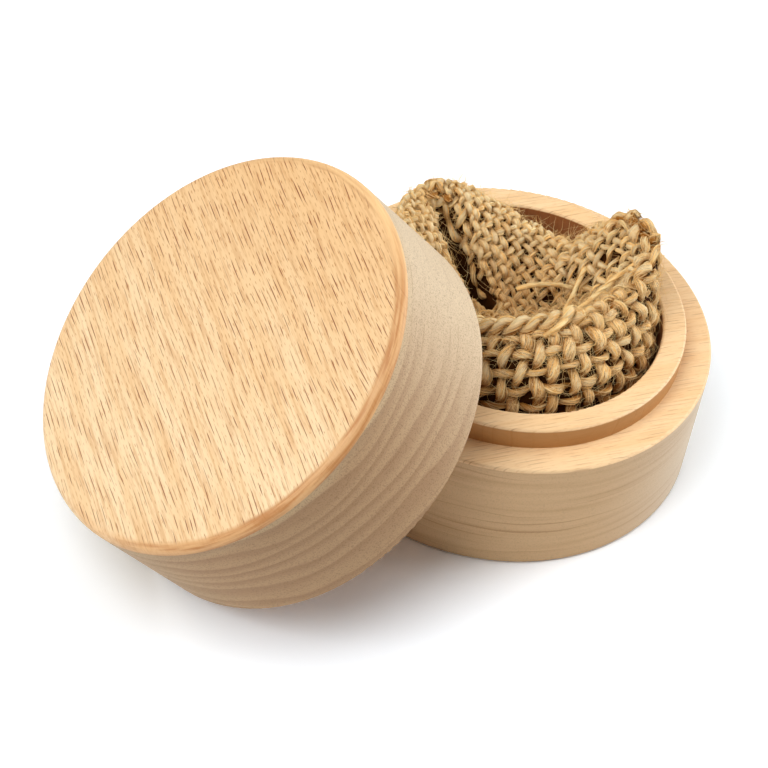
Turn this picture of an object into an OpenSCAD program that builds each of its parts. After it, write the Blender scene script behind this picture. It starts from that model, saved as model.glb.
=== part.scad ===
// Turned wooden ring box, open, with its lid leaning on the jute cloth that fills it.
// The origin is the centre of the base's underside, and the lid leans towards -X.

/* [Box] */
// Outside diameter of the base and the lid
box_d = 62; // [52:1:76]
// Radius left on the sharp edges after sanding
edge_break = 0.4; // [0.2:0.1:0.8]

/* [Base] */
// Height of the shoulder that the lid's rim closes on
shoulder_h = 20.8; // [15:0.2:32]
// Width of the shoulder outside the spigot
shoulder_w = 4.6; // [3:0.1:7]
// Height of the spigot above the shoulder
spigot_h = 3.7; // [2:0.1:7]
// Wall of the spigot and of the cavity below it
spigot_wall = 3.7; // [2.5:0.1:6]
// Thickness of the cavity's floor
floor_t = 5; // [3:0.5:8]
// Fillet between the cavity's floor and its wall
cavity_fillet = 2; // [1:0.5:4]
// Rounding of the foot's edge
foot_round = 0.7; // [0.3:0.1:1.5]

/* [Lid] */
// Height of the lid over its rim
lid_h = 22; // [16:0.5:34]
// Thickness of the lid's top
lid_top = 5; // [3:0.5:8]
// Rounding of the lid's top edge
lid_round = 1.3; // [0.6:0.1:3]
// Fillet inside the lid, between its wall and its top
socket_fillet = 2; // [1:0.5:4]
// Gap all round between the spigot and the lid's socket
socket_clearance = 0.15; // [0.05:0.05:0.4]

/* [Leaning lid] */
// How far down from the lid's high edge its rim lies on the hump
lid_lap = 4.7; // [3.5:0.1:6]
// How far the leaning lid stands to the side of the base's centre
lid_side = -10; // [-14:1:14]

/* [Jute nest] */
// Gap between the cloth and the wood around it
cloth_clearance = 0.3; // [0.2:0.1:0.8]
// Height of the hump under the lid, over the spigot's rim
hump_rise = 12.5; // [10:0.5:16]
// Height of the curled corner, over the spigot's rim
corner_rise = 12.3; // [8:0.5:16]
// Height of the front fold, over the spigot's rim
fold_rise = 9.2; // [5:0.5:12]
// Height of the low rear fold, over the spigot's rim
rear_rise = 4; // [1:0.5:6]
// Depth of the valley for the ring, below the spigot's rim
valley_depth = 2.5; // [0:0.5:8]
// Depth of the crease beside the hump
crease_depth = 6; // [0:0.5:8]

/* [Hidden] */
$fn = 96;
beech = "BurlyWood";
beech_pale = "Wheat";
jute = "DarkKhaki";

// Radii and heights of the two turned halves
box_r = box_d / 2;
spigot_r = box_r - shoulder_w;
cavity_r = spigot_r - spigot_wall;
rim_z = shoulder_h + spigot_h;
socket_r = spigot_r + socket_clearance;
socket_depth = lid_h - lid_top;

// The cloth is lofted through stations at equal steps round the cavity's axis, from its right-hand side.
// Each station is [crest's radius, crest over the spigot's rim, radius of the valley's edge].
// Both radii are shares of the cavity's radius.
nest_turn = -30;
stations = [
    [0.727, 0.82 * corner_rise, 0.24],
    [0.925, corner_rise, 0.26],
    [0.863, 0.95 * corner_rise, 0.22],
    [0.674, rear_rise, 0.11],
    [0.692, 1.05 * rear_rise, 0.07],
    [0.727, 0.57 * hump_rise, 0.07],
    [0.841, 0.85 * hump_rise, 0.09],
    [0.921, 0.97 * hump_rise, 0.13],
    [0.894, hump_rise, 0.18],
    [0.793, hump_rise, 0.22],
    [0.692, 0.8 * hump_rise, 0.26],
    [0.577, 0.64 * fold_rise, 0.29],
    [0.551, 0.83 * fold_rise, 0.29],
    [0.546, 0.96 * fold_rise, 0.29],
    [0.551, fold_rise, 0.29],
    [0.59, fold_rise, 0.26]
];
station_step = 360 / len(stations);
hump_station = 9;
rear_angle = 85;
rear_width = 34;
rear_set_in = 6;
crease_angle = 154;
crease_width = 11;
// Below this depth under the spigot's rim the cloth fills the cavity, and above it leans in to its crest.
belly_depth = 8;
// The cloth's underside is rounded to clear the cavity's fillet.
under_round = 1.5 * cavity_fillet;
nest_sides = 56;
wall_rings = 4;
crest_rings = 8;
slope_rings = 7;

// The leaning lid stands on the table with its lowest edge and lies on the hump near its highest.
// In a tall box it leans more, to clear the edges of the spigot and the shoulder.
hump_x = cavity_r * stations[hump_station][0] * cos(hump_station * station_step + nest_turn);
hump_z = rim_z + stations[hump_station][1];
lid_span = box_d - lid_lap;
lid_foot_x = hump_x - sqrt(pow(lid_span, 2) - pow(hump_z + cloth_clearance, 2));
lid_rests = [[hump_x, hump_z], [-spigot_r, rim_z], [-box_r, shoulder_h]];
lid_lean = max([for (rest = lid_rests) atan2(rest[1] + cloth_clearance, rest[0] - lid_foot_x)]);
// The rounded rim edge lets the leaning lid down by this much.
lid_drop = edge_break * (sin(lid_lean) + cos(lid_lean) - 1);

// Waste that is cut away to round an outer corner, which lies at the origin with the solid below and left of it
module round_waste(r) {
    translate([-r, -r]) difference() {
        square(2 * r);
        circle(r);
    }
}

// Wood that is left in an inner corner, which lies at the origin with the hollow above and left of it
module fillet(r) {
    translate([-r, 0]) difference() {
        square([r, r]);
        translate([0, r]) circle(r);
    }
}

// Half section of the base, for turning about the vertical axis
module base_section() {
    difference() {
        union() {
            square([box_r, shoulder_h]);
            square([spigot_r, rim_z]);
        }
        difference() {
            translate([0, floor_t]) square([cavity_r, rim_z]);
            translate([cavity_r, floor_t]) fillet(cavity_fillet);
        }
        translate([box_r, 0]) mirror([0, 1]) round_waste(foot_round);
        translate([box_r, shoulder_h]) round_waste(edge_break);
        translate([spigot_r, rim_z]) round_waste(edge_break);
        translate([cavity_r, rim_z]) mirror([1, 0]) round_waste(edge_break);
    }
}

// Half section of the lid, with its open rim at the bottom
module lid_section() {
    difference() {
        square([box_r, lid_h]);
        difference() {
            translate([0, -lid_h]) square([socket_r, lid_h + socket_depth]);
            translate([socket_r, socket_depth]) mirror([0, 1]) fillet(socket_fillet);
        }
        translate([box_r, lid_h]) round_waste(lid_round);
        translate([box_r, 0]) mirror([0, 1]) round_waste(edge_break);
        translate([socket_r, 0]) mirror([1, 1]) round_waste(edge_break);
    }
}

// Smooth curve through four even values, at t between the middle two
function through(a, b, c, d, t) =
    b + t * ((c - a) / 2 + t * (a - 2.5 * b + 2 * c - d / 2 + t * ((d - a) / 2 + 1.5 * (b - c))));

// Value k of the stations at an angle round the cavity
function station(angle, k) =
    let (
        place = angle / station_step,
        i = floor(place),
        n = len(stations)
    )
    through(
        stations[(i - 1 + n) % n][k],
        stations[i % n][k],
        stations[(i + 1) % n][k],
        stations[(i + 2) % n][k],
        place - i
    );

// Bell-shaped weight that is 1 at an angle and falls away over a width
function bell(angle, middle, width) = exp(-pow((angle - middle) / width, 2));

function ease(t) = t * t * (3 - 2 * t);

// Radius of the cloth's outer wall: it follows the cavity, and stands in from it at the rear
function wall_r(angle) =
    cavity_r - cloth_clearance - rear_set_in * bell(angle, rear_angle, rear_width);

// Profile of the cloth at an angle, from its underside, up the wall and over the crest, to the valley
function nest_profile(angle) =
    let (
        wall = wall_r(angle),
        bottom = floor_t + cloth_clearance,
        belly = rim_z - belly_depth,
        crest_r = cavity_r * station(angle, 0),
        crest_z = rim_z + station(angle, 1),
        valley_r = cavity_r * station(angle, 2),
        valley_z = rim_z - valley_depth,
        crease = crease_depth * bell(angle, crease_angle, crease_width)
    )
    concat(
        [[wall - under_round, bottom]],
        [for (i = [0 : wall_rings - 1])
            [wall, bottom + under_round + i / wall_rings * (belly - bottom - under_round)]],
        [for (i = [0 : crest_rings])
            let (a = 90 * i / crest_rings)
            [crest_r + (wall - crest_r) * cos(a), belly + (crest_z - belly) * sin(a)]],
        [for (i = [1 : slope_rings])
            let (t = i / slope_rings)
            [crest_r + (valley_r - crest_r) * t,
             valley_z + (crest_z - valley_z) * ease(1 - t) - crease * sin(180 * t)]]
    );

// Height of the leaning lid's rim plane over a point of the table
function lid_plane_z(x) = (x - lid_foot_x) * tan(lid_lean) - lid_drop;

// A profile point set out round the axis, and pressed down where the lid lies on it
function nest_point(p, angle) =
    let (
        x = p[0] * cos(angle + nest_turn),
        y = p[0] * sin(angle + nest_turn)
    )
    [x, y, min(p[1], lid_plane_z(x) - cloth_clearance)];

module base() {
    color(beech) rotate_extrude() base_section();
}

module lid() {
    color(beech_pale)
    translate([lid_foot_x, lid_side, -lid_drop])
    rotate([0, -lid_lean, 0])
    translate([box_r, 0, 0])
    rotate_extrude() lid_section();
}

module jute_nest() {
    rings = wall_rings + crest_rings + slope_rings + 2;
    columns = [for (j = [0 : nest_sides - 1]) nest_profile(360 * j / nest_sides)];
    points = concat(
        [for (k = [0 : rings - 1]) for (j = [0 : nest_sides - 1]) nest_point(columns[j][k], 360 * j / nest_sides)],
        [[0, 0, floor_t + cloth_clearance], [0, 0, rim_z - valley_depth]]
    );
    under = rings * nest_sides;
    valley = under + 1;
    faces = concat(
        [for (j = [0 : nest_sides - 1]) [under, j, (j + 1) % nest_sides]],
        [for (k = [0 : rings - 2]) for (j = [0 : nest_sides - 1]) for (half = [0, 1])
            let (
                a = k * nest_sides + j,
                b = k * nest_sides + (j + 1) % nest_sides,
                c = b + nest_sides,
                d = a + nest_sides
            )
            half == 0 ? [a, d, c] : [a, c, b]],
        [for (j = [0 : nest_sides - 1])
            [valley, (rings - 1) * nest_sides + (j + 1) % nest_sides, (rings - 1) * nest_sides + j]]
    );
    color(jute) polyhedron(points, faces);
}

base();
lid();
jute_nest();
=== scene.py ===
import math

import bpy
import numpy as np
from mathutils import Matrix, Vector


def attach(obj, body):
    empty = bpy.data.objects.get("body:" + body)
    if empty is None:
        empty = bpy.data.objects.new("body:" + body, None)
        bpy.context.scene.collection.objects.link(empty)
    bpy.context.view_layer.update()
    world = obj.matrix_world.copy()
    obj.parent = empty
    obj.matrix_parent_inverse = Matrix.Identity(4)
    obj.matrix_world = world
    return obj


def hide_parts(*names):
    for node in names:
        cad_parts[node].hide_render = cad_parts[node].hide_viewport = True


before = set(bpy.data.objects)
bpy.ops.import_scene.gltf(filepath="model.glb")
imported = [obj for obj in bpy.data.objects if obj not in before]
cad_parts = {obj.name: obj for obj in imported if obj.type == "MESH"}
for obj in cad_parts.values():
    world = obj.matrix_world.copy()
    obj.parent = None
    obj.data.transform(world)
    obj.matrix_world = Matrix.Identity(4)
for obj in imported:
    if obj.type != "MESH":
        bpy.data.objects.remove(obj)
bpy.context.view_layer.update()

# Sizes of the turned halves, in millimetres
MM = 0.001
BOX_R = 31.0
SHOULDER_H = 20.8
SPIGOT_R = 26.4
CAVITY_R = 22.7
RIM_Z = 24.5
LID_H = 22.0
LID_ROUND = 1.3
# Where the rounding of the lid's top edge starts: how high on its side, and how far out on its top
ROUND_Z = LID_H - LID_ROUND
ROUND_R = BOX_R - LID_ROUND

# How the lid leans: its foot on the table, the way up its rim, and its turning axis
LID_LEAN = math.radians(40.613)
LID_FOOT = np.array([-61.344, -10.0, -0.164])
LID_UPHILL = np.array([math.cos(LID_LEAN), 0.0, math.sin(LID_LEAN)])
LID_AXIS = np.array([-math.sin(LID_LEAN), 0.0, math.cos(LID_LEAN)])
LID_CENTRE = LID_FOOT + BOX_R * LID_UPHILL

# The cloth's form, by stations at equal steps round the nest.
# Each is the crest's radius, its height over the spigot's rim, and the radius of the valley's edge.
CORNER_RISE = 12.3
REAR_RISE = 4.0
HUMP_RISE = 12.5
FOLD_RISE = 9.2
STATIONS = np.array([
    [0.727, 0.82 * CORNER_RISE, 0.24],
    [0.925, CORNER_RISE, 0.26],
    [0.863, 0.95 * CORNER_RISE, 0.22],
    [0.674, REAR_RISE, 0.11],
    [0.692, 1.05 * REAR_RISE, 0.07],
    [0.727, 0.57 * HUMP_RISE, 0.07],
    [0.841, 0.85 * HUMP_RISE, 0.09],
    [0.921, 0.97 * HUMP_RISE, 0.13],
    [0.894, HUMP_RISE, 0.18],
    [0.793, HUMP_RISE, 0.22],
    [0.692, 0.8 * HUMP_RISE, 0.26],
    [0.577, 0.64 * FOLD_RISE, 0.29],
    [0.551, 0.83 * FOLD_RISE, 0.29],
    [0.546, 0.96 * FOLD_RISE, 0.29],
    [0.551, FOLD_RISE, 0.29],
    [0.59, FOLD_RISE, 0.26],
])
STATIONS[:, [0, 2]] *= CAVITY_R
STATION_STEP = 360.0 / len(STATIONS)
NEST_TURN = math.radians(-30.0)

# The cloth's fit in the cavity, its low rear and its crease, in millimetres and degrees
CLOTH_CLEARANCE = 0.3
CREST_CLEARANCE = 0.3
REAR_ANGLE = 85.0
REAR_WIDTH = 34.0
REAR_SET_IN = 6.0
CREASE_ANGLE = 154.0
CREASE_SWING = 10.0
CREASE_WIDTH = 8.0
CREASE_DEPTH = 6.0
VALLEY_DEPTH = 2.5
BELLY_DEPTH = 8.0
VALLEY_Z = RIM_Z - VALLEY_DEPTH
BELLY_Z = RIM_Z - BELLY_DEPTH
WALL_BOTTOM_Z = 8.5


class Wire:
    """One output among the nodes, so that shader maths reads as plain sums."""

    def __init__(self, nodes, socket):
        self.nodes = nodes
        self.socket = socket

    def math(self, operation, *terms):
        return self.nodes.node("ShaderNodeMath", {"operation": operation}, dict(enumerate(terms)))

    def __add__(self, other):
        return self.math("ADD", self, other)

    __radd__ = __add__

    def __sub__(self, other):
        return self.math("SUBTRACT", self, other)

    def __rsub__(self, other):
        return self.math("SUBTRACT", other, self)

    def __mul__(self, other):
        return self.math("MULTIPLY", self, other)

    __rmul__ = __mul__

    def __truediv__(self, other):
        return self.math("DIVIDE", self, other)

    def __rtruediv__(self, other):
        return self.math("DIVIDE", other, self)

    def root(self):
        return self.math("SQRT", self)

    def fraction(self):
        return self.math("FRACT", self)

    def floor(self):
        return self.math("FLOOR", self)

    def size(self):
        return self.math("ABSOLUTE", self)

    def or_larger(self, other):
        return self.math("MAXIMUM", self, other)

    def beside(self, output):
        """Another output of the same node."""
        return Wire(self.nodes, self.socket.node.outputs[output])


class Nodes:
    """The nodes of a material or of the world."""

    def __init__(self, owner):
        owner.use_nodes = True
        self.tree = owner.node_tree
        self.tree.nodes.clear()

    def node(self, kind, settings, sockets, output=0):
        """Adds a node, sets its settings, then the values or links of its sockets."""
        added = self.tree.nodes.new(kind)
        for name, setting in settings.items():
            setattr(added, name, setting)
        for key, given in sockets.items():
            if isinstance(given, Wire):
                self.tree.links.new(given.socket, added.inputs[key])
            else:
                added.inputs[key].default_value = given
        return Wire(self, added.outputs[output]) if added.outputs else None


class Finish(Nodes):
    """A procedural material."""

    def __init__(self, name):
        self.material = bpy.data.materials.new(name)
        super().__init__(self.material)

    def place(self, centre):
        """Where a point of the piece is, in millimetres from a centre."""
        at = self.node("ShaderNodeTexCoord", {}, {}, "Object")
        scaled = self.node("ShaderNodeVectorMath", {"operation": "SCALE"}, {0: at, "Scale": 1 / MM})
        settings = {"operation": "SUBTRACT"}
        return self.node("ShaderNodeVectorMath", settings, {0: scaled, 1: tuple(centre)})

    def along(self, place, direction):
        settings = {"operation": "DOT_PRODUCT"}
        return self.node("ShaderNodeVectorMath", settings, {0: place, 1: tuple(direction)}, "Value")

    def attribute(self, name, output):
        """What a mesh carries under a name, point by point."""
        return self.node("ShaderNodeAttribute", {"attribute_name": name}, {}, output)

    def join(self, x, y, z):
        return self.node("ShaderNodeCombineXYZ", {}, {0: x, 1: y, 2: z})

    def noise(self, place, detail, scale=1.0):
        sockets = {"Vector": place, "Scale": scale, "Detail": detail}
        return self.node("ShaderNodeTexNoise", {}, sockets, "Fac")

    def chance(self, x, y, z, output):
        """Random values, each the same over a whole cell."""
        sockets = {"Vector": self.join(x, y, z)}
        return self.node("ShaderNodeTexWhiteNoise", {"noise_dimensions": "2D"}, sockets, output)

    def rise(self, value, low, high):
        """0 below low and 1 above high, with a smooth climb between them."""
        sockets = {"Value": value, "From Min": low, "From Max": high}
        return self.node("ShaderNodeMapRange", {"interpolation_type": "SMOOTHSTEP"}, sockets)

    def mix(self, share, first, second):
        return self.node("ShaderNodeMix", {"data_type": "RGBA"}, {0: share, 6: first, 7: second}, 2)

    def tint(self, colour, other, mask, share):
        """Lays another colour over a colour where the mask is, at most by a share."""
        return self.mix(mask * share, colour, other)

    def surface(self, colour, roughness, height, depth, shine):
        """Ends the material in one shader; height is in units of depth, which is in millimetres."""
        relief = {"Height": height, "Distance": depth * MM, "Strength": 1.0}
        shader = self.node("ShaderNodeBsdfPrincipled", {}, {
            "Base Color": colour,
            "Roughness": roughness,
            "Normal": self.node("ShaderNodeBump", {}, relief),
            "Specular IOR Level": shine,
        })
        self.node("ShaderNodeOutputMaterial", {}, {"Surface": shader})
        return self.material


def shade(*levels):
    """A colour as it looks on a screen, red, green and blue from 0 to 255, turned into light."""
    shares = [level / 255 for level in levels]
    light = [share / 12.92 if share < 0.0404 else ((share + 0.055) / 1.055) ** 2.4 for share in shares]
    return (*light, 1.0)


# How the beech's figure is drawn out: its scale along the grain, across it and up the turning axis
FIBRE_DRAW = (0.12, 2.4, 2.4)
TONE_DRAW = (0.05, 0.42, 0.42)
PORE_DRAW = (5.0, 5.0, 4.0)
WAVE_DRAW = (0.06, 0.08, 0.08)
RING_DRAW = (0.04, 0.04, 0.16)
STREAK_DRAW = (0.05, 0.05, 0.3)
STRIPE_DRAW = (0.03, 0.03, 0.9)
# Marks of the turning tool: their scale round the piece, and over its profile
TURNED_ROUND = 0.14
TURNED_OVER = 1.5
# Between which values of their noise the tones and the pores come up
TONE_RANGE = (0.3, 0.72)
PORE_RANGE = (0.48, 0.7)

# Flecks, streaks and growth rings of the beech, in millimetres; a spacing is along and across the grain
RAY_FLECK = {"length": 7.2, "width": 0.21, "spacing": (6.2, 0.76)}
FINE_FLECK = {"length": 1.6, "width": 0.18, "spacing": (1.8, 0.52)}
SIDE_STREAK = {"length": 40.0, "width": 0.36, "spacing": (42.0, 1.6)}
RING_LINE = {"length": 11.0, "width": 0.4, "spacing": (11.0, 2.4)}
WAVE_SIZE = 1.4
RING_PITCH = 2.9
RING_TILT = 0.1
RING_SWAY = 6.5
LINE_SWAY = 5.0
STREAK_SWAY = 2.5
GRAIN_DEPTH = 0.06

# How flecks differ: their shift between rows, stray in a row, shortest, faintest, and soft edge
ROW_SHIFT = 9.0
FLECK_STRAY = 0.5
FLECK_SHORTEST = 0.35
FLECK_FAINTEST = 0.3
FLECK_EDGE = (0.42, 0.95)

# How far the lid's grain leans out of the level, as a share, and the sanded wood's gloss
GRAIN_LEAN = 0.026
BEECH_SHINE = 0.35
BEECH_ROUGH = 0.48
# From where to where the lid turns golden, its edge band is painted lighter, and it turns brown at its
# end grain, in millimetres
GOLDEN_FROM_TO = (-12.0, 30.0)
BAND_LIGHT_FROM_TO = (-24.0, 14.0)
BROWN_FROM_TO = (-5.0, 22.0)
BAND_LEAST_UNDER_LIGHT = 0.1
# How far below its round edge the lid's side is darker
DARKER_DEPTH = 2.2

FACE_PALE = shade(254, 224, 179)
FACE_WARM = shade(246, 207, 156)
FACE_GOLD = shade(239, 194, 138)
FLECK_BROWN = shade(132, 54, 2)
FINE_BROWN = shade(182, 112, 48)
FIBRE_BROWN = shade(206, 152, 96)
EDGE_GOLD = shade(252, 208, 150)
EDGE_ORANGE = shade(184, 116, 55)
EDGE_BROWN = shade(164, 96, 42)
SIDE_PALE = shade(221, 199, 166)
SIDE_TOP = shade(212, 186, 146)
END_BROWN = shade(188, 152, 112)
RING_BROWN = shade(150, 110, 74)
STREAK_BROWN = shade(166, 116, 72)
PORE_BROWN = shade(122, 88, 56)
BASE_FRONT = shade(219, 183, 138)
BASE_LIT_SIDE = shade(207, 191, 169)
INSIDE_BROWN = shade(214, 168, 116)
SPIGOT_SHADE_ORANGE = shade(190, 130, 64)
CAVITY_SHADE_BROWN = shade(164, 86, 30)


class Beech(Finish):
    """Sanded beech: where a point lies in the grain, in millimetres, and what shows there, 0 to 1."""

    def __init__(self, name, centre, grain, axis):
        super().__init__(name)
        place = self.place(centre)
        directions = (grain, np.cross(axis, grain), axis)
        self.u, self.v, self.w = [self.along(place, direction) for direction in directions]
        self.reach = (self.u * self.u + self.v * self.v).root()
        self.end_on = self.u / self.reach
        self.fibre = self.figure(FIBRE_DRAW, detail=4.0)
        self.tone = self.figure(TONE_DRAW, detail=4.0)
        self.pore = self.rise(self.figure(PORE_DRAW, detail=2.0), *PORE_RANGE)
        wavering = self.v + self.figure(WAVE_DRAW, detail=1.0) * WAVE_SIZE
        self.fleck = self.flecks(self.u, wavering, **RAY_FLECK)
        self.fine = self.flecks(self.u, wavering, **FINE_FLECK)

    def figure(self, draw, detail):
        """Noise that is drawn out with the grain."""
        along, across, up = draw
        return self.noise(self.join(self.u * along, self.v * across, self.w * up), detail)

    def flecks(self, along, across, length, width, spacing):
        """Thin spindles in rows along the grain; chance sets each one's place, length and darkness."""
        rows = across / spacing[1]
        start = self.chance(rows.floor(), 0.5, 0.0, "Value")
        ahead = along / spacing[0] + start * ROW_SHIFT
        lot = self.chance(rows.floor(), ahead.floor(), 1.0, "Color")
        lot = self.node("ShaderNodeSeparateColor", {}, {0: lot})
        aside = rows.fraction() - 0.5 + (lot.beside("Blue") - 0.5) * FLECK_STRAY
        stray = aside.size() * (2 * spacing[1] / width)
        share = FLECK_SHORTEST + lot.beside("Green") * (1 - FLECK_SHORTEST)
        ahead = (ahead.fraction() - 0.5) * (2 * spacing[0] / length) / share
        dark = FLECK_FAINTEST + lot * (1 - FLECK_FAINTEST)
        return (1 - self.rise(ahead * ahead + stray, *FLECK_EDGE)) * dark

    def roughness(self, side):
        return BEECH_ROUGH + self.fibre * 0.14 + side * 0.1


def lid_top(wood, golden):
    """The lid's top: long grain with fine flecks, more golden to one side."""
    face = wood.mix(wood.rise(wood.tone, *TONE_RANGE), FACE_PALE, FACE_WARM)
    face = wood.tint(face, FACE_GOLD, golden, share=0.9)
    face = wood.tint(face, FIBRE_BROWN, wood.rise(wood.fibre, 0.44, 0.68), share=0.46)
    return wood.tint(face, FINE_BROWN, wood.fine, share=0.56 + golden * 0.3)


def lid_edge(wood, turned, border):
    """The lid's burnished round edge, browner towards the end grain."""
    toward_end = wood.rise(wood.u, *BROWN_FROM_TO)
    marks = wood.rise(turned, 0.36, 0.66)
    edge = wood.tint(EDGE_GOLD, EDGE_ORANGE, marks, share=0.26 + toward_end * 0.64)
    edge = wood.tint(edge, EDGE_ORANGE, toward_end, share=0.5)
    return wood.tint(edge, EDGE_BROWN, border * wood.rise(turned, 0.3, 0.6), share=0.5)


def lid_side(wood, turned):
    """The lid's side, from pale long grain to ringed end grain, and the wood inside the socket."""
    sway = wood.figure(RING_DRAW, detail=1.5)
    level = wood.w + wood.v * RING_TILT
    ring = ((level + sway * RING_SWAY) / RING_PITCH).fraction()
    ring = wood.rise(ring, 0.1, 0.9) * (1 - wood.rise(ring, 0.88, 1.0))
    line = wood.flecks((wood.u - wood.v) * 0.8, level + sway * LINE_SWAY, **RING_LINE)
    inside = 1 - wood.rise(wood.reach, SPIGOT_R + 0.5, SPIGOT_R + 1.0)
    side = wood.mix(wood.rise(wood.end_on, 0.1, 1.0), SIDE_PALE, END_BROWN)
    side = wood.tint(side, SIDE_TOP, wood.rise(wood.w, ROUND_Z - DARKER_DEPTH, ROUND_Z), share=0.5)
    side = wood.tint(side, RING_BROWN, ring * wood.rise(wood.end_on, 0.28, 0.95), share=0.5)
    side = wood.tint(side, RING_BROWN, wood.rise(wood.fibre, 0.5, 0.8), share=0.2)
    side = wood.tint(side, RING_BROWN, line, share=0.3)
    side = wood.tint(side, PORE_BROWN, wood.pore, share=0.42)
    return wood.mix(inside, side, wood.mix(turned, INSIDE_BROWN, FIBRE_BROWN))


def lid_beech():
    """The lid: flecked long grain on top, a burnished edge, and ringed end grain low on its side."""
    grain = unit(-GRAIN_LEAN * LID_UPHILL - np.array([0.0, 1.0, 0.0]))
    wood = Beech("lid_beech", LID_CENTRE, grain, LID_AXIS)
    over = (wood.reach - wood.w) * TURNED_OVER
    turned = wood.noise(wood.join(wood.u * TURNED_ROUND, wood.v * TURNED_ROUND, over), detail=4.0)
    golden = wood.rise(wood.v * 0.8 - wood.u * 0.45, *GOLDEN_FROM_TO)
    # Painted light: the orange band on the round edge fades to pale towards one side of the lid, as where
    # light falls on it.
    band_left_by_light = BAND_LEAST_UNDER_LIGHT + wood.rise(wood.v + wood.u, *BAND_LIGHT_FROM_TO) * (1 - BAND_LEAST_UNDER_LIGHT)
    band = wood.rise(wood.reach, ROUND_R - 0.5, ROUND_R + 0.4) * band_left_by_light
    border = wood.rise(wood.reach, ROUND_R - 0.4, ROUND_R - 0.05)
    border = border * (1 - wood.rise(wood.reach, ROUND_R, ROUND_R + 0.4)) * band_left_by_light
    low = 1 - wood.rise(wood.w, ROUND_Z - 0.05, ROUND_Z + 0.1)

    face = wood.tint(lid_top(wood, golden), lid_edge(wood, turned, border), band, share=0.9)
    face = wood.tint(face, FLECK_BROWN, wood.fleck, share=0.9 + golden * 0.1 - band * 0.85)
    colour = wood.mix(low, face, lid_side(wood, turned))
    off_rim = wood.rise(wood.w, 0.4, 1.6)
    fleck_cut = wood.fleck * (1 - low) * (1 - band) * 0.25
    height = wood.fibre * off_rim * 0.5 - fleck_cut - wood.pore * low * off_rim * 0.4
    return wood.surface(colour, wood.roughness(low), height, GRAIN_DEPTH, BEECH_SHINE)


def base_top(wood):
    """The base's top faces: plain long grain."""
    face = wood.mix(wood.rise(wood.tone, *TONE_RANGE), FACE_PALE, FACE_WARM)
    face = wood.mix(0.35, face, FACE_GOLD)
    face = wood.tint(face, FIBRE_BROWN, wood.rise(wood.fibre, 0.46, 0.7), share=0.22)
    face = wood.tint(face, FINE_BROWN, wood.fine, share=0.2)
    return wood.tint(face, FLECK_BROWN, wood.fleck, share=0.34)


def base_side(wood, streak):
    """The base's side: streaks that fade towards the end grain at +X, where the side is also painted
    paler and greyer, as where light falls on it.
    """
    # Painted light: the side is painted paler and greyer towards +X, and its streaks fade there.
    lit_end = wood.rise(wood.end_on, 0.0, 0.95)
    stripe = wood.rise(wood.figure(STRIPE_DRAW, detail=3.0), 0.4, 0.75)
    side = wood.mix(lit_end, BASE_FRONT, BASE_LIT_SIDE)
    side = wood.tint(side, STREAK_BROWN, stripe, share=0.28 - lit_end * 0.2)
    side = wood.tint(side, STREAK_BROWN, streak, share=0.46 - lit_end * 0.34)
    return wood.tint(side, PORE_BROWN, wood.pore, share=0.15 - lit_end * 0.08)


def base_beech():
    """The base: plain long grain on its top faces, fine streaks on its side, a spigot side painted darker
    orange as shade, and painted shade in the cavity.
    """
    wood = Beech("base_beech", np.zeros(3), np.array([1.0, 0.0, 0.0]), np.array([0.0, 0.0, 1.0]))
    sway = wood.figure(STREAK_DRAW, detail=2.0)
    streak = wood.flecks(wood.u, wood.w + sway * STREAK_SWAY, **SIDE_STREAK)
    below = 1 - wood.rise(wood.w, SHOULDER_H - 0.55, SHOULDER_H - 0.42)
    wall = wood.rise(wood.reach, SPIGOT_R - 1.0, SPIGOT_R - 0.9)
    above = wood.rise(wood.w, SHOULDER_H + 0.02, SHOULDER_H + 0.15)
    above = above * (1 - wood.rise(wood.w, RIM_Z - 0.4, RIM_Z - 0.25))
    cavity = 1 - wood.rise(wood.reach, CAVITY_R + 0.05, CAVITY_R + 0.2)
    cavity = cavity * (1 - wood.rise(wood.w, RIM_Z - 0.4, RIM_Z - 0.2))

    colour = wood.mix(below * wall, base_top(wood), base_side(wood, streak))
    # Painted shade: the spigot's upright side is painted a darker orange than the top faces.
    spigot_shade = wood.tint(SPIGOT_SHADE_ORANGE, RING_BROWN, wood.fibre, share=0.3)
    # Painted shade: the cavity's wall above the cloth is painted a darker, redder brown, as the shade and
    # warm bounce in the hollow.
    cavity_shade = wood.tint(CAVITY_SHADE_BROWN, RING_BROWN, wood.fibre, share=0.3)
    colour = wood.tint(colour, spigot_shade, above * wall, share=0.9)
    colour = wood.tint(colour, cavity_shade, cavity, share=0.9)
    height = wood.fibre * 0.5 - wood.fleck * (1 - below) * 0.4
    height = height - streak * below * 0.3 - wood.pore * below * 0.3
    return wood.surface(colour, wood.roughness(below), height, GRAIN_DEPTH, BEECH_SHINE)


JUTE_PALE = shade(255, 234, 187)
JUTE_TAN = shade(254, 196, 106)
JUTE_BROWN = shade(156, 94, 30)
FIBRE_PALE = shade(252, 226, 166)
# Painted shade: the lining is near-black, standing for the shade deep in the gaps between the yarns.
LINING_SHADE_BROWN = shade(36, 16, 2)
LINING_SHADE_TAN = shade(72, 38, 10)

# How the fibres in a yarn are drawn out along it, and below which wear and shade a yarn turns brown with
# painted shade
YARN_DRAW = (0.35, 4.5, 4.5)
PAINTED_SHADE_RANGE = (0.0, 0.85)
# Between which values of its noise a yarn is pale before it is painted lighter, and how far the painted
# lightening clears the painted shade's brown
PALE_RANGE = (0.54, 0.74)
LIGHTENING_CLEARS = 1.6
# How deep the fibres and the cloth stand out, in millimetres
YARN_DEPTH = 0.28
FIBRE_DEPTH = 0.03
LINING_RELIEF = 0.5


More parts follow.
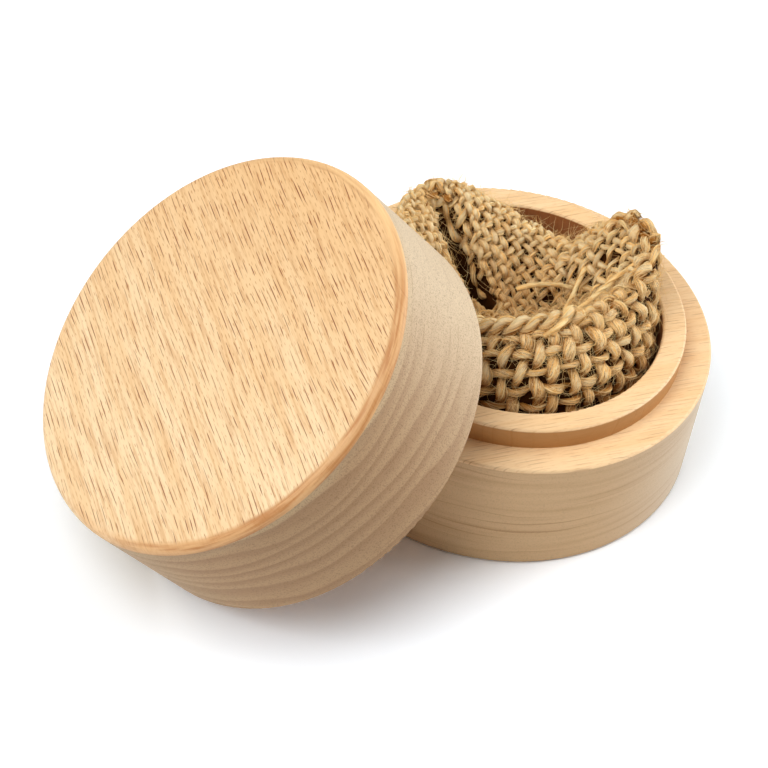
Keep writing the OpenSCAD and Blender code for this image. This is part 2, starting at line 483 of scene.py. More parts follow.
def jute_yarn(name, painted_lightening):
    """Twisted jute: pale and brown fibres that follow each yarn's twist; pale with wear and as a painted
    highlight on its crown, brown as painted shade where it dips under, lies low or turns its flank, and
    painted lighter overall by a share.
    """
    yarn = Finish(name)
    wear_and_shade = yarn.attribute("wear_and_shade", "Fac")
    strand = yarn.attribute("strand", "Vector")
    drawn = yarn.node("ShaderNodeVectorMath", {"operation": "MULTIPLY"}, {0: strand, 1: YARN_DRAW})
    fibre = yarn.noise(drawn, detail=3.0)
    fine = yarn.noise(drawn, detail=2.0, scale=2.6)
    slub = yarn.noise(strand, detail=2.0, scale=0.16)
    colour = yarn.mix(yarn.rise(fibre, 0.36, 0.62), JUTE_BROWN, JUTE_TAN)
    # Painted light: a finish painted lighter has more pale fibres, and less of the painted shade's brown.
    pale = yarn.rise(fine, *[edge - painted_lightening for edge in PALE_RANGE])
    # Painted highlight: pale fibres and slubs show only where the wear-and-shade mark is high.
    colour = yarn.mix(pale * wear_and_shade, colour, JUTE_PALE)
    colour = yarn.tint(colour, JUTE_PALE, yarn.rise(slub, 0.42, 0.66) * wear_and_shade, share=0.6)
    # Painted shade: the yarn goes brown where the wear-and-shade mark is low.
    painted_shade = 1 - yarn.rise(wear_and_shade, *PAINTED_SHADE_RANGE)
    colour = yarn.tint(colour, JUTE_BROWN, painted_shade, share=1 - LIGHTENING_CLEARS * painted_lightening)
    return yarn.surface(colour, 0.68 + fine * 0.2, fibre * 0.7 + fine * 0.4, YARN_DEPTH, shine=0.1)


def jute_fibre():
    """Single fibres off the yarns, from straw to pale gold."""
    fibre = Finish("jute_fibre")
    wear_and_shade = fibre.attribute("wear_and_shade", "Fac")
    strand = fibre.attribute("strand", "Vector")
    along = fibre.noise(strand, detail=1.0, scale=0.21)
    fine = fibre.noise(strand, detail=2.0, scale=2.0)
    colour = fibre.mix(fibre.rise(along, 0.35, 0.65), JUTE_TAN, FIBRE_PALE)
    colour = fibre.tint(colour, JUTE_PALE, fine, share=0.4)
    # Painted shade: fibres go browner where the wear-and-shade mark is low.
    colour = fibre.tint(colour, JUTE_BROWN, 1 - fibre.rise(wear_and_shade, *PAINTED_SHADE_RANGE), share=0.45)
    return fibre.surface(colour, 0.55 + fine * 0.2, fine, FIBRE_DEPTH, shine=0.15)


def jute_lining():
    """The cloth's lower layer, painted near-black as the shade seen between the yarns."""
    cloth = Finish("jute_lining")
    thread = cloth.noise(cloth.place(np.zeros(3)), detail=3.0, scale=0.9)
    colour = cloth.mix(thread, LINING_SHADE_BROWN, LINING_SHADE_TAN)
    return cloth.surface(colour, 0.8 + thread * 0.1, thread, LINING_RELIEF, shine=0.05)


# The least length that is divided by, so that a vector of no length does no harm
TINY = 1e-9


def unit(vectors):
    return vectors / np.maximum(np.linalg.norm(vectors, axis=-1, keepdims=True), TINY)


def ease(t):
    return t * t * (3 - 2 * t)


def eased_share(value, whole):
    """How much of a whole length a value has reached, from 0 to 1, with a soft start and end."""
    return ease(np.clip(value / whole, 0, 1))


def bell(angle, middle, width):
    return np.exp(-((np.mod(angle, 360.0) - middle) / width) ** 2)


def through(a, b, c, d, t):
    """A smooth curve through four even values, at t between the middle two."""
    return b + t * ((c - a) / 2 + t * (a - 2.5 * b + 2 * c - d / 2 + t * ((d - a) / 2 + 1.5 * (b - c))))


def drift(random, count, knots):
    """A smooth random line of count values between about -1 and 1."""
    values = random.uniform(-1, 1, knots + 4)
    place = np.linspace(0, knots, count)
    i = np.floor(place).astype(int)
    return through(values[i], values[i + 1], values[i + 2], values[i + 3], place - i)


def length_along(path):
    return np.concatenate([[0], np.cumsum(np.linalg.norm(np.diff(path, axis=0), axis=1))])


def runs(inside, shortest):
    """The unbroken stretches of a row of true values, as slices."""
    edges = np.flatnonzero(np.diff(np.concatenate([[0], inside.astype(int), [0]])))
    return [slice(a, b) for a, b in edges.reshape(-1, 2) if b - a >= shortest]


def station(angle, k):
    """Value k of the stations at angles round the nest, in degrees."""
    place = np.mod(angle, 360.0) / STATION_STEP
    i = np.floor(place).astype(int)
    near = [STATIONS[(i + n) % len(STATIONS), k] for n in (-1, 0, 1, 2)]
    return through(*near, place - i)


def wall_radius(angle):
    return CAVITY_R - CLOTH_CLEARANCE - REAR_SET_IN * bell(angle, REAR_ANGLE, REAR_WIDTH)


def nest_points(radius, angle, height, drop=0.0):
    """Points round the nest, pressed down where the lid lies on them, and by drop below that."""
    bearing = np.radians(angle) + NEST_TURN
    x = radius * np.cos(bearing)
    y = radius * np.sin(bearing)
    under_lid = (x - LID_FOOT[0]) * math.tan(LID_LEAN) + LID_FOOT[2] - CLOTH_CLEARANCE - drop
    return np.stack([x, y, np.minimum(height, under_lid)], axis=-1)


def down_slope(radius, angle):
    """How far down the inner slope a place lies, from 0 at the crest to 1 at the valley's edge."""
    crest = station(angle, 0)
    return np.clip((crest - radius) / (crest - station(angle, 2)), 0, 1)


def crease_angle(t):
    """Where the crease lies: on its way up from the valley's edge it swings towards the rear."""
    return CREASE_ANGLE - CREASE_SWING * (1 - t)


def slope_height(angle, t):
    """Height of the inner slope, from the crest at t 0 to the valley's edge at t 1."""
    crest_z = RIM_Z + station(angle, 1)
    crease = CREASE_DEPTH * bell(angle, crease_angle(t), CREASE_WIDTH)
    return VALLEY_Z + (crest_z - VALLEY_Z) * ease(1 - t) - crease * np.sin(math.pi * t)


def shoulder_height(angle, t):
    """Height of the outer shoulder of the cloth, from the crest at t 0 to the wall at t 1."""
    return BELLY_Z + (RIM_Z + station(angle, 1) - BELLY_Z) * np.sqrt(1 - t * t)


# How much of the lining's depth it also stands in from the wall
WALL_LET_IN = 0.6


def profile(angle, steps, let_in=0.0):
    """Radius, height and distance from the crest: up the wall, over the crest and down to the valley."""
    wall = wall_radius(angle) - WALL_LET_IN * let_in
    crest = np.minimum(station(angle, 0), wall - CREST_CLEARANCE)
    valley = station(angle, 2)
    t = np.linspace(0, 1, steps)
    over = np.sin(0.5 * math.pi * (1 - t))
    radius = np.concatenate([
        np.full(steps, wall),
        crest + (wall - crest) * over,
        crest + (valley - crest) * t[1:],
    ])
    height = np.concatenate([
        WALL_BOTTOM_Z + (BELLY_Z - let_in - WALL_BOTTOM_Z) * t,
        shoulder_height(angle, over) - let_in,
        slope_height(angle, t[1:]) - let_in,
    ])
    run = np.concatenate([[0], np.cumsum(np.hypot(np.diff(radius), np.diff(height)))])
    return radius, height, run - run[2 * steps - 1]


class Patch:
    """A stretch of the cloth's surface, as an even grid of points and the normals that face out of it."""

    # How far a place stays inside the grid's last line, in steps
    INSIDE = 1e-6

    def __init__(self, points, first, last):
        self.first = np.array(first, dtype=float)
        self.last = np.array(last, dtype=float)
        normals = unit(np.cross(np.gradient(points, axis=0), np.gradient(points, axis=1)))
        self.grid = np.concatenate([points, normals], axis=-1)

    def at(self, a, b):
        """The points and normals at places a, b."""
        shape = np.array(self.grid.shape[:2]) - 1
        place = (np.stack([a, b], axis=-1) - self.first) / (self.last - self.first) * shape
        place = np.clip(place, 0, shape - self.INSIDE)
        i, j = np.floor(place).astype(int).T
        s, t = (place - np.floor(place)).T[..., None]
        near = self.grid[i, j] * (1 - t) + self.grid[i, j + 1] * t
        far = self.grid[i + 1, j] * (1 - t) + self.grid[i + 1, j + 1] * t
        both = near * (1 - s) + far * s
        return both[:, :3], unit(both[:, 3:])


# The outer cloth: how far it runs from the crest, its yarns and rows, in millimetres and degrees
BAND_LOW = -19.0
BAND_HIGH = 9.0
BAND_GRID = (241, 121)
BAND_PROFILE_STEPS = 40
BAND_COLUMNS = 44
BAND_ROW_PITCH = 2.9
BAND_FIRST_ROW = -2.3
BAND_ROWS = range(-5, 3)
BAND_LIFT = 0.75
COLUMN_YARN = (1.5, 1.2)
COLUMN_SWAY = 2.0
COLUMN_KNOTS = 8
ROW_YARN = (1.0, 1.0)
ROW_SWAY = 0.55
ROW_STEP = 1.3
ROW_KNOTS = 40
# How far past the crest the outer cloth folds in, by the angle round the nest
FOLD_IN_AT = [0, 48, 64, 176, 196, 360]
FOLD_IN = [6.0, 6.0, -1.2, -1.2, 6.0, 6.0]

# The inner slope and the hump: their square of cloth, its turn, and its yarns
SLOPE_REACH = 21.0
SLOPE_TURN = 55.0
SLOPE_GRID = 161
SLOPE_LIFT = 0.6
SLOPE_SWAY = 0.45
SLOPE_KNOTS = 14
DOWN_PITCH = 1.25
DOWN_YARN = (0.88, 0.92)
CROSS_PITCH = 1.2
CROSS_YARN = (0.74, 0.72)
# The slope's yarns end short of the crest in front, and behind run over it by a share of the way out.
SLOPE_SHORT = 3.0
SLOPE_OVER = 0.65
BEHIND_AT = [0, 46, 60, 198, 214, 360]
BEHIND = [0, 0, 1, 1, 0, 0]
# The slit of the crease: half its width, where it starts, and how far below the crest it ends
SLIT_HALF = 0.36
SLIT_FROM = 5.0
SLIT_SHORT = 3.6

# The rolled edge of the front fold: from where to where round the nest, and its two plies
ROPE_FROM = 200.0
ROPE_TO = 318.0
ROPE_STEP = 0.9
ROPE_PITCH = 5.0
ROPE_OFFSET = 0.84
ROPE_PLY = (1.5, 1.45)
ROPE_DRIFT = 0.12
ROPE_KNOTS = 30
ROPE_AT = 0.3
ROPE_DEPTH = 0.5
ROPE_SINK = 1.5
ROPE_REACH = 1.6
ROPE_CLEAR = 1.5
# The rope's mean wear-and-shade mark; each ply is painted darker where it turns in
ROPE_WEAR_AND_SHADE = 0.85

# Any yarn, in millimetres; a twist is in radians to the millimetre
YARN_SIDES = 8
YARN_TWIST = 0.55
YARN_STEP = 0.4
YARN_KNOT_SPACING = 3.0
SHORTEST_RUN = 6
CLOTH_DEPTH = 1.4
TUCK_DEPTH = 1.3
TUCK_LENGTH = 1.6
TAPER_LENGTH = 0.8
TAPER_END = 0.3
# How high over the valley the painted shade on low yarns fades out, in millimetres
LOW_SHADE_RISE = 6.0
# How much a yarn differs along its length, as shares: its lift, its bulge on top, and its section
LIFT_DRIFT = 0.3
BULGE = 0.14
WIDTH_DRIFT = 0.3
THICK_DRIFT = 0.14
# How much wear pales a yarn at its ends, how much painted shade it takes where it lies low, and how much
# of its crown's painted highlight its flanks keep
END_WEAR = 0.4
LOW_SHADE = 0.6
FLANK_LIGHT = 0.4
# From which level of the wear-and-shade mark loose fibres grow, and the shift that makes each strand's
# fibres differ
SPOT_LEAST = 0.35
STRAND_SHIFT = 37.0

# The loose fibres round a yarn: how many, how stout, and how they stray
FIBRE_SIDES = 3
FIBRES_ROUND = 5
FIBRE_STOUT = (0.13, 0.3)
FIBRE_KNOT_SPACING = 2.5
FIBRE_TURN = 0.6
FIBRE_CLOSE = 0.98
FIBRE_STAND = 0.2
FIBRE_DRIFT = 0.3


def band_patch():
    """The cloth round its outside and over its crest, by angle and by distance from the crest."""
    lengths = np.linspace(BAND_LOW, BAND_HIGH, BAND_GRID[1])
    rows = []
    for angle in np.linspace(0, 360, BAND_GRID[0]):
        radius, height, run = profile(angle, BAND_PROFILE_STEPS)
        rows.append(nest_points(np.interp(lengths, run, radius), angle, np.interp(lengths, run, height)))
    return Patch(np.array(rows), (0, BAND_LOW), (360, BAND_HIGH))


def slope_patch():
    """The cloth inside the crest, seen from above, on a square grid that is turned to its threads."""
    steps = np.linspace(-SLOPE_REACH, SLOPE_REACH, SLOPE_GRID)
    a, b = np.meshgrid(steps, steps, indexing="ij")
    radius = np.hypot(a, b)
    angle = np.degrees(np.arctan2(b, a)) + SLOPE_TURN
    crest = station(angle, 0)
    outer = np.clip((radius - crest) / (wall_radius(angle) - crest), 0, 1)
    inner_height = slope_height(angle, down_slope(radius, angle))
    height = np.where(radius < crest, inner_height, shoulder_height(angle, outer))
    points = nest_points(radius, angle, height)
    return Patch(points, (-SLOPE_REACH, -SLOPE_REACH), (SLOPE_REACH, SLOPE_REACH))


def section_axes(path, normal):
    """The two axes of a strand's section at each point of its path: across the cloth, and out of it."""
    tangent = unit(np.gradient(path, axis=0))
    aside = unit(np.cross(tangent, normal))
    return aside, np.cross(aside, tangent)


def crown_light(turn):
    """How far a place on a yarn faces out of the cloth, by its angle round the yarn: a painted highlight
    on the crown, and painted shade on the flanks.
    """
    return np.clip(FLANK_LIGHT + (1 - FLANK_LIGHT) * np.sin(turn), 0, 1)


def add_piece(name, points, faces, finish):
    """A mesh object from points in millimetres, smooth, with its finish, riding on the base."""
    mesh = bpy.data.meshes.new(name)
    mesh.from_pydata((points * MM).tolist(), [], faces)
    mesh.shade_smooth()
    mesh.materials.append(finish)
    piece = bpy.data.objects.new(name, mesh)
    bpy.context.scene.collection.objects.link(piece)
    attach(piece, "box_base")
    return piece


class Strands:
    """Collects strands into one mesh, with the fibre direction, and the wear with painted shade and
    highlight, that their finish reads.
    """

    def __init__(self, sides):
        self.sides = sides
        self.turn = np.linspace(0, 2 * math.pi, sides, endpoint=False)
        self.points = []
        self.fibres = []
        self.wear_and_shade = []
        self.faces = []
        self.count = 0
        self.spots = []

    def add(self, path, normal, width, thick, wear_and_shade=1.0):
        """Lays a strand of oval section along a path; width, thickness, and wear with painted shade, may
        change along it.
        """
        aside, out = section_axes(path, normal)
        number = len(path)
        width = np.broadcast_to(width, number)[:, None, None] / 2
        thick = np.broadcast_to(thick, number)[:, None, None] / 2
        wear_and_shade = np.broadcast_to(wear_and_shade, number)
        across = aside[:, None, :] * np.cos(self.turn)[None, :, None] * width
        rings = path[:, None, :] + across + out[:, None, :] * np.sin(self.turn)[None, :, None] * thick
        self.spots.append(np.concatenate([path + out * thick[:, 0], out], axis=1)[wear_and_shade > SPOT_LEAST])
        self.add_fibres(length_along(path), wear_and_shade)
        self.add_faces(number)
        self.points.append(rings.reshape(-1, 3))
        self.count += number * self.sides

    def add_fibres(self, run, wear_and_shade):
        """Notes how a strand's fibres run round it, and its wear and painted shade, point by point."""
        phase = self.turn[None, :] + YARN_TWIST * run[:, None]
        length = np.broadcast_to((run + STRAND_SHIFT * len(self.points))[:, None], phase.shape)
        self.fibres.append(np.stack([length, np.cos(phase), np.sin(phase)], axis=-1).reshape(-1, 3))
        # Painted highlight and shade: stout yarns are paler on their crowns and darker on their flanks;
        # fibres are alike all round.
        crown = crown_light(self.turn) if self.sides > FIBRE_SIDES else np.ones(self.sides)
        self.wear_and_shade.append((wear_and_shade[:, None] * crown).ravel())

    def add_faces(self, number):
        """Joins a number of rings to a closed tube."""
        ring = self.count + self.sides * np.arange(number - 1)[:, None]
        here = ring + np.arange(self.sides)
        beside = ring + np.roll(np.arange(self.sides), -1)
        quads = np.stack([here, beside, beside + self.sides, here + self.sides], axis=-1)
        self.faces += quads.reshape(-1, 4).tolist()
        last = self.count + (number - 1) * self.sides
        self.faces.append(list(range(self.count + self.sides - 1, self.count - 1, -1)))
        self.faces.append(list(range(last, last + self.sides)))

    def wind(self, path, normal, width, thick, wear_and_shade, random, count):
        """Lays loose fibres round a yarn, which stand off it here and there."""
        aside, out = section_axes(path, normal)
        run = length_along(path)
        knots = max(3, int(run[-1] / FIBRE_KNOT_SPACING))
        for start in random.uniform(0, 2 * math.pi, count):
            turn = start - YARN_TWIST * run + FIBRE_TURN * drift(random, len(path), knots)
            off = FIBRE_CLOSE + FIBRE_STAND * drift(random, len(path), knots)
            stout = random.uniform(*FIBRE_STOUT) * (1 + FIBRE_DRIFT * drift(random, len(path), knots))
            across = aside * (np.cos(turn) * width / 2 * off)[:, None]
            outward = out * (np.sin(turn) * thick / 2 * off)[:, None]
            # Painted shade: fibres on a yarn's flanks are darker than those on its crown.
            self.add(path + (across + outward), normal, stout, stout, wear_and_shade * crown_light(turn))

    def piece(self, name, finish):
        piece = add_piece(name, np.concatenate(self.points), self.faces, finish)
        strand = piece.data.attributes.new("strand", "FLOAT_VECTOR", "POINT")
        strand.data.foreach_set("vector", np.concatenate(self.fibres).astype(np.float32).ravel())
        # The wear-and-shade mark: wear at yarn ends, painted shade where yarns dip under, lie low or turn
        # their flanks, and a painted highlight on their crowns.
        wear_and_shade = piece.data.attributes.new("wear_and_shade", "FLOAT", "POINT")
        wear_and_shade.data.foreach_set("value", np.concatenate(self.wear_and_shade).astype(np.float32))
        return piece


class Weave:
    """The yarns of one stretch of the cloth, and the loose fibres round them."""

    def __init__(self, random, lift):
        self.random = random
        self.lift = lift
        self.yarns = Strands(YARN_SIDES)
        self.fibres = Strands(FIBRE_SIDES)

    def lay(self, patch, a, b, lift, yarn):
        """One yarn along places a, b of a patch, over and under others, with its ends tucked in."""
        point, normal = patch.at(a, b)
        run = length_along(point)
        from_end = np.minimum(run, run[-1] - run)
        tuck = TUCK_DEPTH * (1 - eased_share(from_end, TUCK_LENGTH))
        knots = max(3, int(run[-1] / YARN_KNOT_SPACING))
        lift = lift * (1 + LIFT_DRIFT * drift(self.random, len(a), knots))
        path = point + normal * (lift - CLOTH_DEPTH - tuck)[:, None]
        taper = TAPER_END + (1 - TAPER_END) * eased_share(from_end, TAPER_LENGTH)
        bulge = 1 + BULGE * lift / self.lift
        width = yarn[0] * taper * bulge * (1 + WIDTH_DRIFT * drift(self.random, len(a), knots))
        thick = yarn[1] * taper * (1 + THICK_DRIFT * drift(self.random, len(a), knots))
        # Painted shade: a yarn is darker where it dips under the others, and the lower it lies towards
        # the valley; its tapered ends are paler with wear.
        low_shade = 1 - eased_share(path[:, 2] - VALLEY_Z, LOW_SHADE_RISE)
        wear_and_shade = np.clip(0.5 + 0.5 * lift / self.lift + END_WEAR * (1 - taper), 0, 1)
        self.add(path, normal, width, thick, wear_and_shade * (1 - LOW_SHADE * low_shade), FIBRES_ROUND)

    def add(self, path, normal, width, thick, wear_and_shade, fibres):
        """One yarn along a path, with a number of loose fibres round it."""
        self.yarns.add(path, normal, width, thick, wear_and_shade)
        self.fibres.wind(path, normal, width, thick, wear_and_shade, self.random, fibres)


def fold_in(angle):
    """How far past the crest the outer cloth folds in: over it in front, and short of it behind."""
    return np.interp(np.mod(angle, 360), FOLD_IN_AT, FOLD_IN)


def weave_band(weave, patch):
    """The front and outer cloth: upright yarns and rows round the nest."""
    column_step = 360 / BAND_COLUMNS
    for i in range(BAND_COLUMNS):
        b = np.arange(BAND_LOW + 1, fold_in(i * column_step), YARN_STEP)
        a = np.mod(i * column_step + COLUMN_SWAY * drift(weave.random, len(b), COLUMN_KNOTS), 360)
        lift = weave.lift * np.cos(math.pi * ((b - BAND_FIRST_ROW) / BAND_ROW_PITCH + i))
        if ROPE_FROM < i * column_step < ROPE_TO:
            lift -= (lift + ROPE_SINK) * np.exp(-((b - ROPE_AT) / ROPE_REACH) ** 2)
        weave.lay(patch, a, b, lift, COLUMN_YARN)
    for j in BAND_ROWS:
        row = BAND_FIRST_ROW + BAND_ROW_PITCH * j
        a = np.arange(0, 360.0, ROW_STEP)
        b = row + ROW_SWAY * drift(weave.random, len(a), ROW_KNOTS)
        lift = -weave.lift * np.cos(math.pi * (a / column_step + j))
        under_rope = (abs(row - ROPE_AT) < ROPE_CLEAR) & (a > ROPE_FROM) & (a < ROPE_TO)
        for run in runs((row <= fold_in(a)) & ~under_rope, SHORTEST_RUN):
            weave.lay(patch, a[run], b[run], lift[run], ROW_YARN)


def slope_limit(angle):
    """How far out the slope's yarns run: short of the crest in front, and over it behind the hump."""
    crest = station(angle, 0)
    behind = np.interp(np.mod(angle, 360), BEHIND_AT, BEHIND)
    return crest - SLOPE_SHORT + behind * (SLOPE_SHORT + SLOPE_OVER * (wall_radius(angle) - crest))


def in_slit(radius, angle):
    """Whether a place lies in the narrow slit of the crease, where the cloth is folded out of sight."""
    beside = angle - crease_angle(down_slope(radius, angle))
    slit = (radius > SLIT_FROM) & (radius < station(angle, 0) - SLIT_SHORT) & (np.abs(beside) < 90)
    return slit & (np.abs(radius * np.sin(np.radians(beside))) < SLIT_HALF)


def weave_slope(weave, patch):
    """The inner slope and the hump: stout yarns down the slope, and thinner ones across them."""
    along = np.arange(-SLOPE_REACH, SLOPE_REACH, YARN_STEP)
    ways = [(True, DOWN_PITCH, CROSS_PITCH, DOWN_YARN), (False, CROSS_PITCH, DOWN_PITCH, CROSS_YARN)]
    for down, pitch, other_pitch, yarn in ways:
        last = int(SLOPE_REACH / pitch)
        for i in range(-last, last + 1):
            side = i * pitch + SLOPE_SWAY * drift(weave.random, len(along), SLOPE_KNOTS)
            a, b = (side, along) if down else (along, side)
            lift = (1 if down else -1) * weave.lift * np.cos(math.pi * (along / other_pitch + i))
            radius = np.hypot(a, b)
            angle = np.degrees(np.arctan2(b, a)) + SLOPE_TURN
            shown = (radius < slope_limit(angle)) & ~in_slit(radius, angle)
            for run in runs(shown, SHORTEST_RUN):
                weave.lay(patch, a[run], b[run], lift[run], yarn)


def twist_rope(weave, patch):
    """The rolled edge of the front fold, as two thick plies laid round each other."""
    a = np.arange(ROPE_FROM, ROPE_TO, ROPE_STEP)
    point, normal = patch.at(np.mod(a, 360), np.full(len(a), ROPE_AT))
    middle = point - normal * ROPE_DEPTH
    aside, out = section_axes(middle, normal)
    for ply in (0, 1):
        turn = (ply * math.pi - 2 * math.pi * length_along(middle) / ROPE_PITCH)[:, None]
        path = middle + ROPE_OFFSET * (np.cos(turn) * out + np.sin(turn) * aside)
        width = ROPE_PLY[0] * (1 + ROPE_DRIFT * drift(weave.random, len(a), ROPE_KNOTS))
        # Painted shade: each ply is darker where it turns in under the other, and paler where it faces
        # out.
        wear_and_shade = ROPE_WEAR_AND_SHADE + (1 - ROPE_WEAR_AND_SHADE) * np.cos(turn[:, 0])
        weave.add(path, normal, width, ROPE_PLY[1], wear_and_shade, FIBRES_ROUND)


# Loose yarns across the valley: points right of, behind and above the centre of the base's underside
LOOSE_YARNS = [
    [(5.0, -13.8, 32.4), (6.8, -12.9, 34.0), (8.7, -8.0, 33.2), (10.6, -3.7, 32.0),
     (14.2, 3.1, 32.0), (17.5, 7.0, 33.0), (19.1, 8.2, 32.6)],
    [(6.1, -13.8, 33.0), (6.8, -10.8, 33.0), (7.4, -5.0, 30.5), (7.9, -0.4, 28.6), (9.1, 8.2, 27.4)],
    [(-0.5, 1.1, 26.6), (1.8, 1.5, 27.6), (5.0, 2.5, 27.8), (7.7, 3.7, 26.8)],
]
LOOSE_STOUT = 0.7
LOOSE_STEPS = 12
LOOSE_DRIFT = 0.2
LOOSE_KNOTS = 12
LOOSE_FIBRES = 4


def add_loose_yarns(weave):
    """Thin single yarns that have come out of the weave."""
    cos, sin = math.cos(NEST_TURN), math.sin(NEST_TURN)
    t = np.linspace(0, 1, LOOSE_STEPS, endpoint=False)[:, None]
    for knots in LOOSE_YARNS:
        right, back, up = np.array(knots).T
        turned = np.stack([right * cos - back * sin, right * sin + back * cos, up], axis=1)
        ends = np.concatenate([[2 * turned[0] - turned[1]], turned, [2 * turned[-1] - turned[-2]]])
        spans = [through(*ends[k:k + 4], t) for k in range(len(turned) - 1)]
        path = np.concatenate(spans + [turned[-1:]])
        normal = np.broadcast_to([0.0, 0.0, 1.0], path.shape)
        width = LOOSE_STOUT * (1 + LOOSE_DRIFT * drift(weave.random, len(path), LOOSE_KNOTS))
        weave.add(path, normal, width, LOOSE_STOUT, 1.0, LOOSE_FIBRES)


# Stray fibres: how many, how long in millimetres, and how steeply they leave the yarns
LYING = {"count": 5600, "length": (1.2, 3.6), "stand": 0.25}
STANDING = {"count": 2200, "length": (0.4, 1.1), "stand": 0.8}
STRAY_STEPS = 6
STRAY_STOUT = 0.052
STRAY_THICKEST = 1.1
STRAY_TAPER = 0.7
STRAY_ROOT = 0.06
STRAY_RISE = (0.3, 1.0)
STRAY_FALL = (0.2, 0.9)
STRAY_BEND = 0.7
STRAY_CURL = 0.5
# They grow on the cloth from this depth below the spigot's rim upwards.
STRAY_DEPTH = 3.0


def stray_fibres(spots, random, count, length, stand):
    """Stray fibres that curl over the yarns; stand is how steeply they leave them."""
    strands = Strands(FIBRE_SIDES)
    steps = np.linspace(0, 1, STRAY_STEPS)[:, None]
    thick = STRAY_STOUT * (STRAY_THICKEST - STRAY_TAPER * steps[:, 0])
    for spot in spots[random.integers(0, len(spots), count)]:
        point, normal = spot[:3], spot[3:]
        level = unit(np.cross(normal, random.normal(size=3)))
        heading = level + normal * stand * random.uniform(*STRAY_RISE)
        aside = unit(np.cross(heading, normal))
        bend = aside * random.normal() * STRAY_BEND - normal * stand * random.uniform(*STRAY_FALL)
        curl = aside * random.normal() * STRAY_CURL
        far = random.uniform(*length)
        path = point - normal * STRAY_ROOT + far * steps * (heading + bend * steps + curl * steps * steps)
        strands.add(path, np.broadcast_to(aside, path.shape), thick, thick)
    return strands


# The cloth's lower layer: its depth below the surface, its points, and the steepest place allowed for
LINING_DEPTH = 2.0
LINING_STEPS = 18
LINING_AROUND = 161
LINING_STEEPEST = 0.35


def add_lining(finish):
    """The cloth's lower layer: one sheet up the wall, over the crest and down across the valley."""
    rows = []
    for angle in np.linspace(0, 360, LINING_AROUND):
        radius, height, run = profile(angle, LINING_STEPS, LINING_DEPTH)
        rows.append(nest_points(radius, angle, height, LINING_DEPTH))
    patch = Patch(np.array(rows), (0, 0), (1, 1))
    points = patch.grid[:-1, :, :3].copy()
    inside = slice(2 * LINING_STEPS - 1, None)
    upright = np.clip(patch.grid[:-1, inside, 5], LINING_STEEPEST, 1.0)
    points[:, inside, 2] -= LINING_DEPTH * (1 / upright - 1)
    around, up = points.shape[:2]
    faces = []
    for i in range(around):
        beside = (i + 1) % around
        for k in range(up - 1):
            faces.append((i * up + k, beside * up + k, beside * up + k + 1, i * up + k + 1))
        faces.append((i * up + up - 1, beside * up + up - 1, around * up))
    middle = np.array([[0.0, 0.0, VALLEY_Z - LINING_DEPTH]])
    return add_piece("jute_lining", np.concatenate([points.reshape(-1, 3), middle]), faces, finish)


# The seed of the random draws that lay the yarns and fibres
SEED = 7


def dress_nest():
    """The jute cloth: its lower layer, woven yarns, rolled edge, loose yarns and stray fibres."""
    random = np.random.default_rng(SEED)
    fibre = jute_fibre()
    # Painted light: the inner slope and the rolled edge are painted lighter than the outer cloth, as
    # where more light falls on them.
    finishes = {
        "band": jute_yarn("jute_outer_yarn", painted_lightening=0.14),
        "slope": jute_yarn("jute_inner_yarn", painted_lightening=0.4),
        "rolled_edge": jute_yarn("jute_edge_yarn", painted_lightening=0.42),
        "loose_yarns": fibre,
    }
    lifts = {"band": BAND_LIFT, "slope": SLOPE_LIFT, "rolled_edge": 0.0, "loose_yarns": 0.0}
    weaves = {name: Weave(random, lift) for name, lift in lifts.items()}
    patch = band_patch()
    weave_band(weaves["band"], patch)
    weave_slope(weaves["slope"], slope_patch())
    twist_rope(weaves["rolled_edge"], patch)
    add_loose_yarns(weaves["loose_yarns"])
    spots = np.concatenate([spot for weave in weaves.values() for spot in weave.yarns.spots])
    spots = spots[spots[:, 2] > RIM_Z - STRAY_DEPTH]
    lying = stray_fibres(spots, random, **LYING)
    standing = stray_fibres(spots, random, **STANDING)
    lining = add_lining(jute_lining())
    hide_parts("jute_nest")
    woven = [lying.piece("jute_stray_fibres", fibre), standing.piece("jute_standing_fibres", fibre)]
    for name, weave in weaves.items():
        woven.append(weave.yarns.piece("jute_" + name, finishes[name]))
        woven.append(weave.fibres.piece("jute_" + name + "_fibres", fibre))


def finish_wood():
    """Puts the beech on the two turned halves."""
    for node, wood in (("base", base_beech()), ("lid", lid_beech())):
        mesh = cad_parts[node].data
        mesh.materials.clear()
        mesh.materials.append(wood)


# The table top, in metres: it lies a hair below the base's foot
FLOOR_HALF = 3.0
FLOOR_Z = -0.00005
FLOOR_CORNERS = [(-1, -1), (1, -1), (1, 1), (-1, 1)]
FLOOR_WHITE = (1.10, 1.15, 1.20, 1.0)
FLOOR_BOUNCE = (0.88, 0.88, 0.88, 1.0)
# How far from the box the table runs into the white backdrop, in millimetres
BACKDROP_FROM_TO = (150.0, 400.0)


def floor_finish():
    """White to the camera, a plain pale grey to the light that bounces off it, and backdrop far away."""
    table = Finish("floor")
    seen = table.node("ShaderNodeLightPath", {}, {}, "Is Camera Ray")
    shown = seen.or_larger(seen.beside("Is Glossy Ray").or_larger(seen.beside("Is Transmission Ray")))
    colour = table.mix(shown, FLOOR_BOUNCE, FLOOR_WHITE)
    lit = table.node("ShaderNodeBsdfDiffuse", {}, {"Color": colour})
    backdrop = table.node("ShaderNodeEmission", {}, {"Strength": 1.0})
    centre = table.place(np.zeros(3))
    away = table.node("ShaderNodeVectorMath", {"operation": "LENGTH"}, {0: centre}, "Value")
    far = table.rise(away, *BACKDROP_FROM_TO) * shown
    both = table.node("ShaderNodeMixShader", {}, {0: far, 1: lit, 2: backdrop})
    table.node("ShaderNodeOutputMaterial", {}, {"Surface": both})
    return table.material


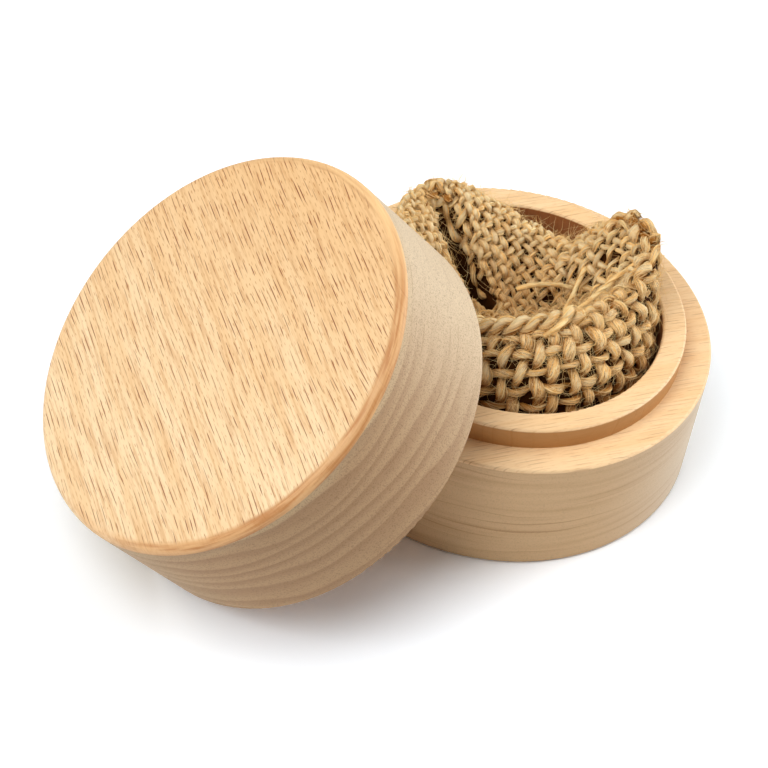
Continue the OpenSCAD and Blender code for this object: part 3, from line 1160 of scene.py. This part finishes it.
def lay_floor():
    """A plain white table top that keeps the shadows."""
    mesh = bpy.data.meshes.new("floor")
    corners = [(x * FLOOR_HALF, y * FLOOR_HALF, FLOOR_Z) for x, y in FLOOR_CORNERS]
    mesh.from_pydata(corners, [], [(0, 1, 2, 3)])
    mesh.materials.append(floor_finish())
    floor = bpy.data.objects.new("floor", mesh)
    bpy.context.scene.collection.objects.link(floor)


# The even light of the room, and what the camera sees past the table
ROOM_WHITE = (1.0, 1.0, 1.0, 1.0)
ROOM_LIGHT = 0.14
SKY_GREY = (0.8, 0.8, 0.8, 1.0)
# Each softbox: where it stands in metres, and its watts
SOFTBOX_ACROSS = 0.6
SOFTBOXES = {
    "left_softbox": ((-0.432, -0.116, 0.639), 4.6),
    "right_softbox": ((0.733, 0.0, 0.267), 5.15),
    "top_softbox": ((0.034, 0.059, 0.777), 1.4),
}


def facing(at, aim, roll):
    """Where a lamp or camera stands so that it looks at a point, rolled about its view."""
    look = (Vector(aim) - Vector(at)).to_track_quat("-Z", "Y").to_matrix().to_4x4()
    return Matrix.Translation(at) @ look @ Matrix.Rotation(roll, 4, "Z")


def light_studio():
    """A white room with a low even light, and softboxes high on the left, low on the right and above."""
    world = bpy.data.worlds.new("studio")
    bpy.context.scene.world = world
    sky = Nodes(world)
    seen = sky.node("ShaderNodeLightPath", {}, {}, "Is Camera Ray")
    room = sky.node("ShaderNodeBackground", {}, {"Color": ROOM_WHITE, "Strength": ROOM_LIGHT})
    beyond = sky.node("ShaderNodeBackground", {}, {"Color": SKY_GREY, "Strength": 1.0})
    both = sky.node("ShaderNodeMixShader", {}, {0: seen, 1: room, 2: beyond})
    sky.node("ShaderNodeOutputWorld", {}, {"Surface": both})
    for name, (at, watts) in SOFTBOXES.items():
        softbox = bpy.data.lights.new(name, "AREA")
        softbox.shape = "DISK"
        softbox.size = SOFTBOX_ACROSS
        softbox.energy = watts
        lamp = bpy.data.objects.new(name, softbox)
        lamp.matrix_world = facing(at, (0.0, 0.0, 0.0), 0.0)
        bpy.context.scene.collection.objects.link(lamp)


# The photograph's camera, in metres; its lens and sensor are in millimetres
CAMERA_AT = (-0.1418, -0.2472, 0.2918)
CAMERA_AIM = (-0.0150, 0.0102, 0.0)
CAMERA_ROLL = math.radians(9.6)
CAMERA_LENS = 119.6
CAMERA_SENSOR = 36.0
CAMERA_NEAREST = 0.01


def set_camera():
    camera = bpy.data.cameras.new("camera")
    camera.lens = CAMERA_LENS
    camera.sensor_width = CAMERA_SENSOR
    camera.clip_start = CAMERA_NEAREST
    holder = bpy.data.objects.new("camera", camera)
    holder.matrix_world = facing(CAMERA_AT, CAMERA_AIM, CAMERA_ROLL)
    bpy.context.scene.collection.objects.link(holder)
    bpy.context.scene.camera = holder


set_camera()
finish_wood()
dress_nest()
lay_floor()
light_studio()
bpy.context.scene.view_settings.view_transform = "Standard"
